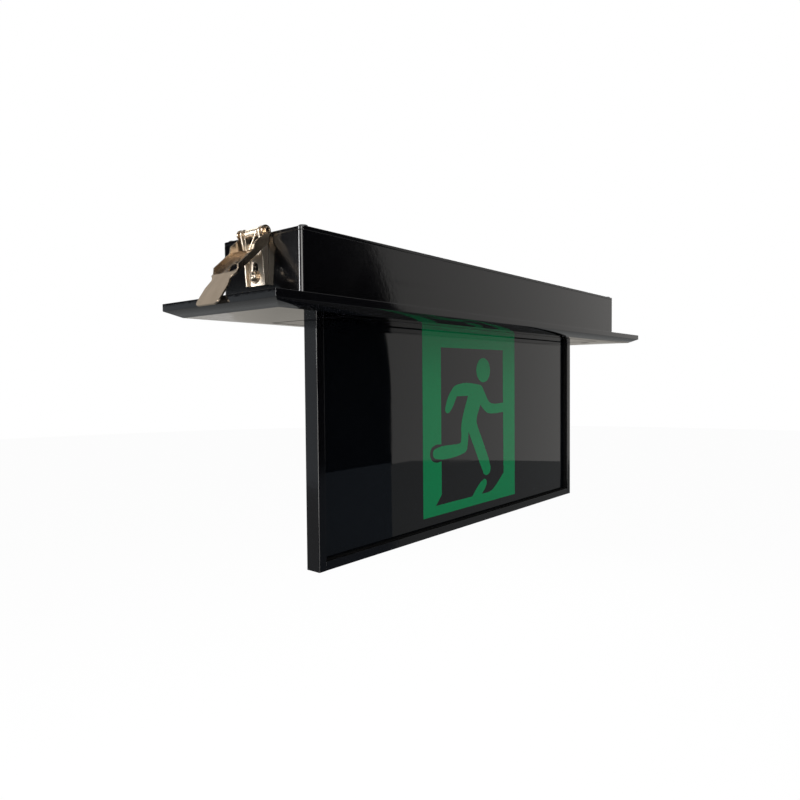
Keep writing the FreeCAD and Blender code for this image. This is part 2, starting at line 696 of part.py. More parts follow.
def clipBracket(side):
    body = newBody(f"clip_{side}_bracket")
    front = "clipOffset - bracketWidth / 2"
    low = (f"{faceX} - bracketSheet", front, "bracketFoot")
    plateTop = f"{pinHeight} - bracketPlateDrop"
    block(body, "plate", low, ("bracketSheet", "bracketWidth", f"{plateTop} - bracketFoot"))
    # each ear stands out from the plate and widens towards the rivet
    corners = [("0", "bracketFoot"), ("bracketEarFoot", "bracketFoot")]
    corners += [("bracketEarWaist", f"{pinHeight} - bracketEarWaistDrop")]
    corners += [(f"pinStandoff {sign} {earRadius}", pinHeight) for sign in "+-"]
    corners += [("bracketEarGap", plateTop), ("0", plateTop)]
    for face, start in (("front", front), ("back", "clipOffset + bracketWidth / 2 - bracketSheet")):
        ear = sketchOn(body, f"{face}Ear", "XZ_Plane", f"-({start})")
        drawOutline(ear, [(f"{faceX} - ({out})", up) for out, up in corners])
        pad(body, ear, f"{face}EarSheet", "bracketSheet", backwards=True)
        pinSpot = (pinX, start, pinHeight)
        rod(body, f"{face}EarEnd", pinSpot, "y", earRadius, "bracketSheet")
        rod(body, f"{face}PinHole", pinSpot, "y", "pinRadius + pinGap", "bracketSheet", True)
    outside = f"{faceX} - bracketSheet"
    middleLow = "clipScrewHeight - slotGap"
    middleHigh = f"{middleLow} + slotLength - slotWidth"
    low = (outside, f"{slotY} - slotWidth / 2", middleLow)
    block(body, "slot", low, ("bracketSheet", "slotWidth", f"{middleHigh} - ({middleLow})"), True)
    rod(body, "slotBottomEnd", (outside, slotY, middleLow), "x", "slotWidth / 2", "bracketSheet", True)
    rod(body, "slotTopEnd", (outside, slotY, middleHigh), "x", "slotWidth / 2", "bracketSheet", True)
    body.Placement = halfTurn(side)


def clipLever(side):
    body = newBody(f"clip_{side}_lever")
    web = sketchOn(body, "webOutline", "XY_Plane")
    corners = [("leverWebStart", "-leverWidth / 2"), ("leverBendPlace", "-leverWidth / 2")]
    corners += [("leverBendPlace", "leverWidth / 2"), ("leverWebStart", "leverWidth / 2")]
    drawOutline(web, corners)
    pad(body, web, "web", "leverSheet")
    # tongue, bent down from the end of the channel: a neck, then a broad end with round corners
    half = [("-tongueOverlap", "leverWidth / 2"), ("tongueNeckStart", "leverWidth / 2")]
    half += [("tongueNeckEnd", "tongueNeckWidth / 2"), ("tongueShoulder", "tongueWidth / 2")]
    half += [("tongueLength - tongueTipRound", "tongueWidth / 2")]
    half += [("tongueLength", "tongueWidth / 2 - tongueTipRound")]
    corners = [(along, f"-({width})") for along, width in half] + half[::-1]
    neck, tip = ("tongueNeckRound", -1), ("tongueTipRound", 1)
    tongue = sketchOn(body, "tongueOutline", "XY_Plane")
    turn = FreeCAD.Rotation(FreeCAD.Vector(0, 1, 0), value("leverBend"))
    tongue.AttachmentOffset = FreeCAD.Placement(FreeCAD.Vector(), turn)
    tongue.setExpression(".AttachmentOffset.Base.x", formula("leverBendPlace"))
    drawOutline(tongue, corners, {1: neck, 4: tip, 6: tip, 9: neck})
    pad(body, tongue, "tongue", "leverSheet")
    # side walls: a round ear at the rivet, a neck, a high shoulder, a kink and a low edge
    profile = [("0", f"leverWebDepth - {leverEar}"), ("leverWallStart", "0"), ("leverChannelEnd", "0")]
    profile += [("leverChannelEnd", "leverSheet"), ("leverWallEnd", "leverWallLow")]
    profile += [("leverWallLowStart", "leverWallLow"), ("leverWallHighEnd", "leverWallHigh")]
    profile += [("leverNeckStart", "leverNeckHigh"), ("0", "leverWebDepth")]
    for word, start in (("right", "-leverWidth / 2"), ("left", "leverWidth / 2 - leverSheet")):
        wall = sketchOn(body, f"{word}Wall", "XZ_Plane", f"-({start})")
        drawOutline(wall, profile)
        pad(body, wall, f"{word}WallSheet", "leverSheet", backwards=True)
        rod(body, f"{word}Ear", ("0", start, "leverWebDepth"), "y", leverEar, "leverSheet")
        hole = ("0", start, "leverWebDepth")
        rod(body, f"{word}PinHole", hole, "y", "pinRadius + pinGap", "leverSheet", True)
    # pointed window in the web, beside the front wall
    window = sketchOn(body, "windowOutline", "XY_Plane", "leverSheet")
    points = [("windowStart", "windowOffset"), ("windowEnd", "windowOffset")]
    drawOutline(window, points, {0: ("windowRound", 1), 1: ("windowRound", 1)})
    pocket(body, window, "window", "leverSheet")
    body.Placement = halfTurn(side).multiply(leverFrame())


def clipPin(side):
    body = newBody(f"clip_{side}_pin")
    length = "leverWidth + 2 * pinEnd"
    start = (pinX, f"clipOffset - ({length}) / 2", pinHeight)
    rod(body, "tube", start, "y", "pinRadius", length)
    rod(body, "bore", start, "y", "pinBore", length, True)
    body.Placement = halfTurn(side)


def clipFixing(side):
    washer = newBody(f"clip_{side}_washer")
    base = (f"{faceX} - bracketSheet - washerThickness", slotY, "clipScrewHeight")
    rod(washer, "disc", base, "x", "washerRadius", "washerThickness")
    rod(washer, "hole", base, "x", "clipScrewHole", "washerThickness", True)
    screw = newBody(f"clip_{side}_screw")
    headBase = f"{base[0]} - clipScrewHeadHeight"
    rod(screw, "head", (headBase, *base[1:]), "x", "clipScrewHead", "clipScrewHeadHeight")
    shank = "washerThickness + bracketSheet + boxWall + nutThickness + clipScrewTip"
    rod(screw, "shank", base, "x", "clipScrewRadius", shank)
    nut = newBody(f"clip_{side}_nut")
    start = (f"{faceX} + boxWall", slotY, "clipScrewHeight")
    hexagon(nut, "hexagon", start, "x", "nutRadius", "nutThickness")
    rod(nut, "thread", start, "x", "clipScrewRadius + threadGap", "nutThickness", True)
    for body in (washer, screw, nut):
        body.Placement = halfTurn(side)


def coilRing(radius, place, pivot):
    # one outline of the coil, drawn with flat sides round the rivet's axis
    count = int(value("coilSides"))
    turn = 2 * math.pi / count
    spots = [FreeCAD.Vector(math.cos(k * turn), 0, math.sin(k * turn)) * radius for k in range(count)]
    spots = [pivot + spot + FreeCAD.Vector(0, place, 0) for spot in spots]
    return Part.makePolygon(spots + spots[:1])


def clipSpring(side):
    # torsion spring: its close turns show as ridges, and from each end a leg runs down to the lever's web
    wire, turnCount = value("coilWire"), int(value("coilTurns"))
    inner = value("pinRadius + coilGap")
    outer, valley = inner + wire, inner + wire - value("coilGroove")
    pitch = value("coilWire + coilPitchGap")
    half = turnCount * pitch / 2
    pivot = FreeCAD.Vector(0, 0, value("leverWebDepth"))
    rings = [coilRing(outer, -half, pivot), coilRing(outer, pitch - half, pivot)]
    for number in range(1, turnCount - 1):
        rings.append(coilRing(outer, (number + 0.5) * pitch - half, pivot))
        rings.append(coilRing(valley, (number + 1) * pitch - half, pivot))
    rings[-1] = coilRing(outer, half - pitch, pivot)
    rings.append(coilRing(outer, half, pivot))
    shape = Part.makeLoft(rings, True, True)
    axis = FreeCAD.Vector(0, 1, 0)
    shape = shape.cut(Part.makeCylinder(inner, 2 * half, pivot - axis * half, axis))
    # each leg leaves the coil where a line from its far end touches the turn
    mean = inner + wire / 2
    reach = FreeCAD.Vector(value("springLegEnd"), 0, value("leverSheet - leverWebDepth") + wire / 2)
    lean = math.acos(mean / reach.Length) + math.atan2(reach.z, reach.x)
    for sign in (-1, 1):
        top = FreeCAD.Vector(mean * math.cos(lean), sign * (half - wire / 2), mean * math.sin(lean))
        end = reach + FreeCAD.Vector(0, sign * value("springLegSpread"), 0)
        leg = Part.makeCylinder(wire / 2, (end - top).Length, pivot + top, end - top)
        shape = shape.fuse(leg)
    spring = doc.addObject("Part::Feature", f"clip_{side}_spring")
    spring.Label = f"clip_{side}_spring"
    spring.Shape = shape
    spring.Placement = halfTurn(side).multiply(leverFrame())
    parts.append(spring)


def writeParts():
    doc.recompute()
    for item in doc.Objects:
        if "Invalid" in item.State or "Error" in item.State:
            raise RuntimeError(f"{item.Label} failed: {item.State}")
    os.makedirs("parts", exist_ok=True)
    for part in parts:
        shape = part.Shape
        if shape.isNull() or not shape.isValid() or shape.Volume <= 0:
            raise RuntimeError(f"{part.Label} has no valid shape")
        shape.exportStep(f"parts/{part.Label}.step")
    print(len(parts), "pieces written")


trimPlate()
carrierPlate()
housingShell()
topCover()
bladeFrame()
bladePanel()
ledRail()
gearTray()
driver()
battery()
mainsEntry()
testGear()
for side in ("left", "right"):
    clipBracket(side)
    clipLever(side)
    clipPin(side)
    clipFixing(side)
    clipSpring(side)
writeParts()
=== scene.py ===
import json
import math

import bmesh
import bpy
from mathutils import Euler, Matrix, Vector

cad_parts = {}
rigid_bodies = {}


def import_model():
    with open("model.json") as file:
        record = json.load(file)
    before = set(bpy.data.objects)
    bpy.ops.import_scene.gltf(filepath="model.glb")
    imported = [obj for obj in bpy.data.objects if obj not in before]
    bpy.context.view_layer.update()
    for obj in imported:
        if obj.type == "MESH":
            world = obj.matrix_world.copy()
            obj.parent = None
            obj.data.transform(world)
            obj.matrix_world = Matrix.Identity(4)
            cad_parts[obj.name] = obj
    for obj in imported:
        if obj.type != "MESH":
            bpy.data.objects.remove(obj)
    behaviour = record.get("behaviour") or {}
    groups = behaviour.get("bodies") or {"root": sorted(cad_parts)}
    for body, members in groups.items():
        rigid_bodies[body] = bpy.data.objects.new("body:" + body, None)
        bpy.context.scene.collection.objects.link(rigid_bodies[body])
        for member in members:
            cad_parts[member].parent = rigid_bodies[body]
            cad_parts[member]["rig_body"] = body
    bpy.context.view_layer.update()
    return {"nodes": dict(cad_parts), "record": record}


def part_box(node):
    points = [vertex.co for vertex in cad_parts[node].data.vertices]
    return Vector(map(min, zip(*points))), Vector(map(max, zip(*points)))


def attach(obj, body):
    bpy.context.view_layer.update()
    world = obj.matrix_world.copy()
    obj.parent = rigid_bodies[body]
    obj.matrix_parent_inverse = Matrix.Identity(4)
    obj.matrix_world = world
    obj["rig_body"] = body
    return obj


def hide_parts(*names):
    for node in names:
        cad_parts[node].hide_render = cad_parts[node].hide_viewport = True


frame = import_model()
nodes = frame["nodes"]
mm = 0.001
weld = 1e-7  # corners nearer than this in m are one
print("frame loaded", len(nodes), "nodes")


# node groups that the materials share

def newGroup(name, inputs, outputs):
    # inputs are (label, socket type, start value), outputs (label, socket type)
    tree = bpy.data.node_groups.new(name, "ShaderNodeTree")
    for label, kind, start in inputs:
        socket = tree.interface.new_socket(name=label, in_out="INPUT", socket_type=kind)
        socket.default_value = start
    for label, kind in outputs:
        tree.interface.new_socket(name=label, in_out="OUTPUT", socket_type=kind)
    return tree, tree.nodes.new("NodeGroupInput"), tree.nodes.new("NodeGroupOutput")


def give(node, values):
    for label, value in values.items():
        node.inputs[label].default_value = value


def join(tree, *pairs):
    for start, end in pairs:
        tree.links.new(start, end)


def makeGrain():
    # a fine field stretched along one axis: moulded skin, brushed lines, drawn wire
    tree, given, result = newGroup(
        "grain",
        [("Scale", "NodeSocketFloat", 400.0), ("Stretch", "NodeSocketVector", (1, 1, 1)),
         ("Detail", "NodeSocketFloat", 4.0), ("Contrast", "NodeSocketFloat", 1.0)],
        [("Mask", "NodeSocketFloat"), ("Height", "NodeSocketFloat")])
    spot = tree.nodes.new("ShaderNodeTexCoord")
    pull = tree.nodes.new("ShaderNodeVectorMath")
    pull.operation = "MULTIPLY"
    noise = tree.nodes.new("ShaderNodeTexNoise")
    give(noise, {"Roughness": 0.55})
    # the mask is the noise, spread about its middle by the contrast
    spread = tree.nodes.new("ShaderNodeMath")
    lift = tree.nodes.new("ShaderNodeMath")
    spread.operation = lift.operation = "MULTIPLY_ADD"
    spread.use_clamp = True
    give(lift, {1: -0.5, 2: 0.5})
    join(tree,
         (spot.outputs["Object"], pull.inputs[0]), (given.outputs["Stretch"], pull.inputs[1]),
         (pull.outputs[0], noise.inputs["Vector"]), (given.outputs["Scale"], noise.inputs["Scale"]),
         (given.outputs["Detail"], noise.inputs["Detail"]), (given.outputs["Contrast"], lift.inputs[0]),
         (noise.outputs["Fac"], spread.inputs[0]), (given.outputs["Contrast"], spread.inputs[1]),
         (lift.outputs[0], spread.inputs[2]), (spread.outputs[0], result.inputs["Mask"]),
         (noise.outputs["Fac"], result.inputs["Height"]))
    return tree


marks = {
    "smear": {"Detail": 3.0, "Distortion": 0.6},
    "smearCut": {"From Min": 0.45, "From Max": 0.75},
    "hairline": {"Detail": 1.0},
    "hairlineWay": {"Rotation": (0.4, 0.7, 0.5), "Scale": (0.06, 1.0, 1.0)},
    "hairlineCut": {"From Min": 0.68, "From Max": 0.74},
}


def makeHandling():
    # soft smears and thin hairlines, as gloss surfaces get from being handled and wiped
    tree, given, result = newGroup(
        "handling",
        [("Smear", "NodeSocketFloat", 18.0), ("Hairline", "NodeSocketFloat", 90.0)],
        [("Mask", "NodeSocketFloat"), ("Height", "NodeSocketFloat")])
    spot = tree.nodes.new("ShaderNodeTexCoord")
    smear = tree.nodes.new("ShaderNodeTexNoise")
    soft = tree.nodes.new("ShaderNodeMapRange")
    turn = tree.nodes.new("ShaderNodeMapping")
    line = tree.nodes.new("ShaderNodeTexNoise")
    sharp = tree.nodes.new("ShaderNodeMapRange")
    both = tree.nodes.new("ShaderNodeMath")
    both.operation = "MAXIMUM"
    for node, mark in ((smear, "smear"), (soft, "smearCut"), (line, "hairline"), (turn, "hairlineWay"),
                       (sharp, "hairlineCut")):
        give(node, marks[mark])
    join(tree,
         (spot.outputs["Object"], smear.inputs["Vector"]), (spot.outputs["Object"], turn.inputs["Vector"]),
         (given.outputs["Smear"], smear.inputs["Scale"]), (smear.outputs["Fac"], soft.inputs["Value"]),
         (turn.outputs["Vector"], line.inputs["Vector"]),
         (given.outputs["Hairline"], line.inputs["Scale"]),
         (line.outputs["Fac"], sharp.inputs["Value"]), (soft.outputs["Result"], both.inputs[0]),
         (sharp.outputs["Result"], both.inputs[1]), (both.outputs[0], result.inputs["Mask"]),
         (sharp.outputs["Result"], result.inputs["Height"]))
    return tree


grain = makeGrain()
handling = makeHandling()


# materials

def startMaterial(name, values):
    material = bpy.data.materials.new(name)
    material.use_nodes = True
    tree = material.node_tree
    give(tree.nodes["Principled BSDF"], values)
    return material, tree, tree.nodes["Principled BSDF"]


def addGroup(tree, group, **values):
    node = tree.nodes.new("ShaderNodeGroup")
    node.node_tree = group
    give(node, values)
    return node


def twoTones(tree, mask, look):
    mix = tree.nodes.new("ShaderNodeMix")
    mix.data_type = "RGBA"
    give(mix, {6: (*look["dark"], 1), 7: (*look["light"], 1)})  # the mix's two colour sockets
    tree.links.new(mask, mix.inputs[0])
    return mix.outputs[2]


def between(tree, mask, low, high):
    ramp = tree.nodes.new("ShaderNodeMapRange")
    give(ramp, {"To Min": low, "To Max": high})
    tree.links.new(mask, ramp.inputs["Value"])
    return ramp.outputs["Result"]


def bumpFrom(tree, height, distance, strength=1.0, under=None):
    bump = tree.nodes.new("ShaderNodeBump")
    give(bump, {"Strength": strength, "Distance": distance})
    tree.links.new(height, bump.inputs["Height"])
    if under is not None:
        tree.links.new(under, bump.inputs["Normal"])
    return bump.outputs["Normal"]


# every finish runs from its dark to its light tone and between two roughnesses; depths are in metres
glossLooks = {
    "glossBlack": {"dark": (0.0016, 0.0016, 0.0022), "light": (0.0028, 0.0028, 0.0034),
                   "rough": (0.06, 0.11), "skin": 420.0, "depth": 0.000012},
    "paintedBlack": {"dark": (0.0014, 0.0014, 0.002), "light": (0.0024, 0.0024, 0.003),
                     "rough": (0.07, 0.14), "skin": 330.0, "depth": 0.000016, "smear": 14.0,
                     "hairline": 70.0},
    "legendSheet": {"dark": (0.0012, 0.0016, 0.0024), "light": (0.002, 0.0024, 0.0032),
                    "rough": (0.015, 0.045), "skin": 160.0, "depth": 0.000002, "smear": 10.0,
                    "hairline": 120.0},
    "signGreen": {"dark": (0.0, 0.145, 0.048), "light": (0.0, 0.162, 0.056), "rough": (0.02, 0.05),
                  "skin": 900.0, "depth": 0.000002, "smear": 10.0, "hairline": 120.0, "specular": 0.27},
}
plainLooks = {
    "clipNickel": {"dark": (0.54, 0.435, 0.325), "light": (0.69, 0.56, 0.425), "rough": (0.17, 0.27),
                   "scale": 260.0, "depth": 0.00001, "stretch": (0.25, 1, 0.25), "contrast": 2.0,
                   "more": {"Metallic": 1.0}},
    "bracketNickel": {"dark": (0.6, 0.525, 0.43), "light": (0.74, 0.65, 0.54), "rough": (0.3, 0.42),
                      "scale": 260.0, "depth": 0.00001, "stretch": (0.25, 1, 0.25), "contrast": 2.0,
                      "more": {"Metallic": 1.0}},
    "springSteel": {"dark": (0.6, 0.515, 0.41), "light": (0.76, 0.66, 0.54), "rough": (0.24, 0.36),
                    "scale": 900.0, "depth": 0.000004, "stretch": (1, 0.2, 1), "contrast": 1.6,
                    "more": {"Metallic": 1.0}},
    "blackScrew": {"dark": (0.008, 0.008, 0.009), "light": (0.02, 0.02, 0.021), "rough": (0.28, 0.45),
                   "scale": 600.0, "depth": 0.00001, "more": {"Metallic": 0.4}},
    "bareAluminium": {"dark": (0.66, 0.66, 0.68), "light": (0.8, 0.8, 0.82), "rough": (0.26, 0.42),
                      "scale": 500.0, "depth": 0.000008, "stretch": (0.03, 1, 1), "contrast": 1.6,
                      "more": {"Metallic": 1.0}},
    "whiteLaminate": {"dark": (0.8, 0.8, 0.77), "light": (0.86, 0.86, 0.84), "rough": (0.4, 0.55),
                      "scale": 900.0, "depth": 0.000006},
    "ledPhosphor": {"dark": (0.86, 0.72, 0.24), "light": (0.92, 0.82, 0.36), "rough": (0.2, 0.34),
                    "scale": 1800.0, "depth": 0.00001},
    "whiteNylon": {"dark": (0.78, 0.78, 0.74), "light": (0.86, 0.86, 0.83), "rough": (0.4, 0.56),
                   "scale": 500.0, "depth": 0.00001},
    "windingWire": {"dark": (0.3, 0.17, 0.05), "light": (0.55, 0.3, 0.1), "rough": (0.25, 0.4),
                    "scale": 1500.0, "depth": 0.00004, "stretch": (1, 0.1, 0.1), "contrast": 2.2,
                    "more": {"Metallic": 0.6}},
    "blackFilm": {"dark": (0.02, 0.02, 0.03), "light": (0.05, 0.05, 0.06), "rough": (0.22, 0.34),
                  "scale": 260.0, "depth": 0.00001},
    "blueCase": {"dark": (0.05, 0.11, 0.38), "light": (0.08, 0.16, 0.48), "rough": (0.3, 0.42),
                 "scale": 700.0, "depth": 0.00001},
    "cellWrap": {"dark": (0.08, 0.26, 0.12), "light": (0.12, 0.36, 0.17), "rough": (0.24, 0.36),
                 "scale": 120.0, "depth": 0.00003, "stretch": (0.3, 1, 1)},
    "blackRubber": {"dark": (0.012, 0.012, 0.012), "light": (0.026, 0.026, 0.026), "rough": (0.55, 0.75),
                    "scale": 900.0, "depth": 0.00003},
    # matt black with little gloss: the test button, the dark joint line, and the painted shade strip in
    # the panel groove
    "sealBlack": {"dark": (0.0016, 0.0016, 0.0018), "light": (0.003, 0.003, 0.0032), "rough": (0.7, 0.9),
                  "scale": 900.0, "depth": 0.00001, "more": {"Specular IOR Level": 0.08}},
    "lampLens": {"dark": (0.02, 0.32, 0.08), "light": (0.04, 0.4, 0.12), "rough": (0.06, 0.14),
                 "scale": 700.0, "depth": 0.000004, "more": {"Transmission Weight": 0.6}},
}
patternLooks = {
    "galvanised": {"dark": (0.5, 0.51, 0.53), "light": (0.66, 0.67, 0.68), "rough": (0.3, 0.5),
                   "cells": 170.0, "scale": 900.0, "depth": 0.000008},
    "greenLaminate": {"dark": (0.012, 0.1, 0.035), "light": (0.03, 0.2, 0.075), "rough": (0.28, 0.42),
                      "scale": 800.0, "depth": 0.00004},
    "clearAcrylic": {"dark": (0.86, 0.93, 0.9), "light": (0.94, 0.98, 0.96), "rough": (0.02, 0.16),
                     "scale": 1400.0, "depth": 0.00001},
}
# a brick pattern stands for the copper tracks
tracks = {"Scale": 95.0, "Mortar Size": 0.035, "Color1": (0, 0, 0, 1), "Color2": (0.25, 0.25, 0.25, 1),
          "Mortar": (1, 1, 1, 1)}
scored = {"depth": -0.000002, "strength": 0.5}  # hairlines in gloss


def plainFinish(name, look):
    # one grain field drives tone, roughness and relief
    material, tree, shader = startMaterial(name, look.get("more", {}))
    field = addGroup(tree, grain, Scale=look["scale"], Stretch=look.get("stretch", (1, 1, 1)),
                     Contrast=look.get("contrast", 1.5))
    join(tree,
         (twoTones(tree, field.outputs["Mask"], look), shader.inputs["Base Color"]),
         (between(tree, field.outputs["Mask"], *look["rough"]), shader.inputs["Roughness"]),
         (bumpFrom(tree, field.outputs["Height"], look["depth"]), shader.inputs["Normal"]))
    return material


def glossFinish(name, look):
    # gloss skin with a faint orange peel, smears and hairlines
    material, tree, shader = startMaterial(name, {"Specular IOR Level": look.get("specular", 0.5)})
    field = addGroup(tree, grain, Scale=look["skin"], Detail=2.0, Contrast=1.4)
    wiped = addGroup(tree, handling, Smear=look.get("smear", 18.0), Hairline=look.get("hairline", 90.0))
    peel = bumpFrom(tree, field.outputs["Height"], look["depth"])
    join(tree,
         (twoTones(tree, field.outputs["Mask"], look), shader.inputs["Base Color"]),
         (between(tree, wiped.outputs["Mask"], *look["rough"]), shader.inputs["Roughness"]),
         (bumpFrom(tree, wiped.outputs["Height"], scored["depth"], scored["strength"], peel),
          shader.inputs["Normal"]))
    return material


def makeGalvanised(name, look):
    # zinc in flat crystals that differ in tone, from a cell pattern
    material, tree, shader = startMaterial(name, {"Metallic": 1.0})
    spot = tree.nodes.new("ShaderNodeTexCoord")
    cells = tree.nodes.new("ShaderNodeTexVoronoi")
    give(cells, {"Scale": look["cells"]})
    split = tree.nodes.new("ShaderNodeSeparateColor")
    field = addGroup(tree, grain, Scale=look["scale"], Contrast=1.3)
    join(tree,
         (spot.outputs["Object"], cells.inputs["Vector"]),
         (cells.outputs["Color"], split.inputs["Color"]),
         (twoTones(tree, split.outputs[0], look), shader.inputs["Base Color"]),
         (between(tree, split.outputs[1], *look["rough"]), shader.inputs["Roughness"]),
         (bumpFrom(tree, field.outputs["Height"], look["depth"]), shader.inputs["Normal"]))
    return material


def makeBoardLaminate(name, look):
    # green solder mask with copper tracks showing a little lighter and raised
    material, tree, shader = startMaterial(name, {})
    spot = tree.nodes.new("ShaderNodeTexCoord")
    bricks = tree.nodes.new("ShaderNodeTexBrick")
    give(bricks, tracks)
    split = tree.nodes.new("ShaderNodeSeparateColor")
    field = addGroup(tree, grain, Scale=look["scale"], Contrast=1.4)
    join(tree,
         (spot.outputs["Object"], bricks.inputs["Vector"]),
         (bricks.outputs["Color"], split.inputs["Color"]),
         (twoTones(tree, split.outputs[0], look), shader.inputs["Base Color"]),
         (between(tree, field.outputs["Mask"], *look["rough"]), shader.inputs["Roughness"]),
         (bumpFrom(tree, split.outputs[0], look["depth"]), shader.inputs["Normal"]))
    return material


def makeAcrylic(name, look):
    # clear light guide, faintly green in its edges, with etched specks
    material, tree, shader = startMaterial(name, {"Transmission Weight": 0.92, "IOR": 1.49})
    field = addGroup(tree, grain, Scale=look["scale"], Detail=1.0, Contrast=3.0)
    join(tree,
         (twoTones(tree, field.outputs["Mask"], look), shader.inputs["Base Color"]),
         (between(tree, field.outputs["Mask"], *look["rough"]), shader.inputs["Roughness"]),
         (bumpFrom(tree, field.outputs["Height"], look["depth"]), shader.inputs["Normal"]))
    return material


makers = {"galvanised": makeGalvanised, "greenLaminate": makeBoardLaminate, "clearAcrylic": makeAcrylic}
made = {name: glossFinish(name, look) for name, look in glossLooks.items()}
made.update({name: plainFinish(name, look) for name, look in plainLooks.items()})
made.update({name: makers[name](name, look) for name, look in patternLooks.items()})

# the finish of each material slot
finishes = {
    "gloss_black": made["glossBlack"], "painted_black": made["paintedBlack"],
    "legend": made["legendSheet"], "clear_acrylic": made["clearAcrylic"],
    "bare_aluminium": made["bareAluminium"], "white_laminate": made["whiteLaminate"],
    "led_phosphor": made["ledPhosphor"], "galvanised": made["galvanised"],
    "green_laminate": made["greenLaminate"], "white_nylon": made["whiteNylon"],
    "winding": made["windingWire"], "black_film": made["blackFilm"],
    "blue_case": made["blueCase"], "cell_wrap": made["cellWrap"],
    "black_rubber": made["blackRubber"], "lamp_lens": made["lampLens"],
    "clip_nickel": made["clipNickel"], "spring_steel": made["springSteel"],
}
# pieces that don't look quite like the rest of their slot
own = {
    "clip_left_bracket": made["bracketNickel"], "clip_right_bracket": made["bracketNickel"],
    "test_button": made["sealBlack"],
}
print("materials made", len(bpy.data.materials))


# the frame's own pieces

slotOf = {entry["node"]: entry["material_slot"] for entry in frame["record"]["subparts"]}


def wear(piece, material):
    piece.data.materials.clear()
    piece.data.materials.append(material)


def addPiece(name, bm, material, body, stands=None, smooth=40):
    mesh = bpy.data.meshes.new(name)
    bm.to_mesh(mesh)
    bm.free()
    mesh.shade_smooth()
    mesh.set_sharp_from_angle(angle=math.radians(smooth))
    piece = bpy.data.objects.new(name, mesh)
    bpy.context.scene.collection.objects.link(piece)
    wear(piece, material)
    even = piece.modifiers.new("evenNormals", "WEIGHTED_NORMAL")
    even.keep_sharp = True
    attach(piece, body)
    if stands:
        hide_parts(stands)
    return piece


def cutAway(mesh, cutter):
    blank = bpy.data.objects.new("blank", mesh)
    tool = bpy.data.objects.new("tool", cutter)
    for item in (blank, tool):
        bpy.context.scene.collection.objects.link(item)
    cut = blank.modifiers.new("cut", "BOOLEAN")
    cut.object = tool
    cut.operation = "DIFFERENCE"
    cut.solver = "EXACT"
    cut.use_self = True
    bpy.context.view_layer.update()
    seen = blank.evaluated_get(bpy.context.evaluated_depsgraph_get())
    result = bpy.data.meshes.new_from_object(seen)
    for item in (blank, tool):
        bpy.data.objects.remove(item)
    return result


def camelName(node):
    first, *rest = node.split("_")
    return first + "".join(word.capitalize() for word in rest)


# edge softness in mm of the pieces that are softened; the others keep the frame's own mesh
softened = {
    "trim_plate": 0.35, "carrier_plate": 0.25, "housing_shell": 0.25, "top_cover": 0.35,
    "blade_stile_left": 0.2, "blade_stile_right": 0.2, "blade_bottom_rail": 0.08,
    "cable_grommet": 0.25, "test_button": 0.2, "charge_lamp": 0.15,
    "clip_left_bracket": 0.12, "clip_right_bracket": 0.12,
    "clip_left_lever": 0.14, "clip_right_lever": 0.14,
    "clip_left_pin": 0.12, "clip_right_pin": 0.12, "clip_left_washer": 0.1, "clip_right_washer": 0.1,
    "clip_left_nut": 0.15, "clip_right_nut": 0.15, "gear_tray": 0.12, "led_rail": 0.12,
    "driver_transformer": 0.15, "driver_capacitor": 0.3, "driver_relay": 0.3, "battery_pack": 0.3,
    "terminal_block": 0.3, "test_switch": 0.2, "battery_straps": 0.15,
}


# how a node's mesh is merged and flattened, and from which angle its edges are softened
clean = {"merge": 1e-6, "flat": math.radians(0.6), "sharp": math.radians(32), "steps": 2}


def dressNode(node, width, cutter=None):
    # a merged copy of the node with softened edges stands for it
    bm = bmesh.new()
    bm.from_mesh(nodes[node].data)
    bmesh.ops.remove_doubles(bm, verts=bm.verts, dist=clean["merge"])
    if cutter:
        whole = bpy.data.meshes.new("whole")
        bm.to_mesh(whole)
        bm.clear()
        bm.from_mesh(cutAway(whole, cutter))
        bmesh.ops.remove_doubles(bm, verts=bm.verts, dist=clean["merge"])
    bmesh.ops.dissolve_limit(bm, angle_limit=clean["flat"], verts=bm.verts, edges=bm.edges)
    sharp = [edge for edge in bm.edges
             if len(edge.link_faces) == 2 and edge.calc_face_angle() > clean["sharp"]]
    if sharp:
        bmesh.ops.bevel(bm, geom=sharp, offset=width * mm, affect="EDGES", segments=clean["steps"],
                        profile=0.5, material=-1, clamp_overlap=True)
    slot = slotOf[node]
    material = own.get(node, finishes[slot])
    return addPiece(camelName(node), bm, material, nodes[node]["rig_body"], node)


clipLean = math.radians(42.9)  # the lever's slope under the horizontal
# the web's round hole in mm, its middle on the lever's own axes
webHole = {"place": (23.1, 4.4, -5.15), "radius": 5.1, "depth": 3.0, "sides": 56}


def leverPlace(side, sign):
    # the lever's own axes at its rivet: along it, across it and outwards
    low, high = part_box(f"clip_{side}_pin")
    along = Vector((sign * math.cos(clipLean), 0, -math.sin(clipLean)))
    out = Vector((sign * math.sin(clipLean), 0, math.cos(clipLean)))
    turned = Matrix((along, out.cross(along), out)).transposed().to_4x4()
    return Matrix.Translation((low + high) / 2) @ turned


def addRod(bm, radius, length, sides, matrix):
    bmesh.ops.create_cone(bm, cap_ends=True, segments=sides, radius1=radius, radius2=radius,
                          depth=length, matrix=matrix)


def webCutter(side, sign):
    # the round hole in the lever's web
    bm = bmesh.new()
    place = leverPlace(side, sign) @ Matrix.Translation(Vector(webHole["place"]) * mm)
    addRod(bm, webHole["radius"] * mm, webHole["depth"] * mm, webHole["sides"], place)
    bmesh.ops.recalc_face_normals(bm, faces=bm.faces)
    mesh = bpy.data.meshes.new("webCutter")
    bm.to_mesh(mesh)
    bm.free()
    return mesh


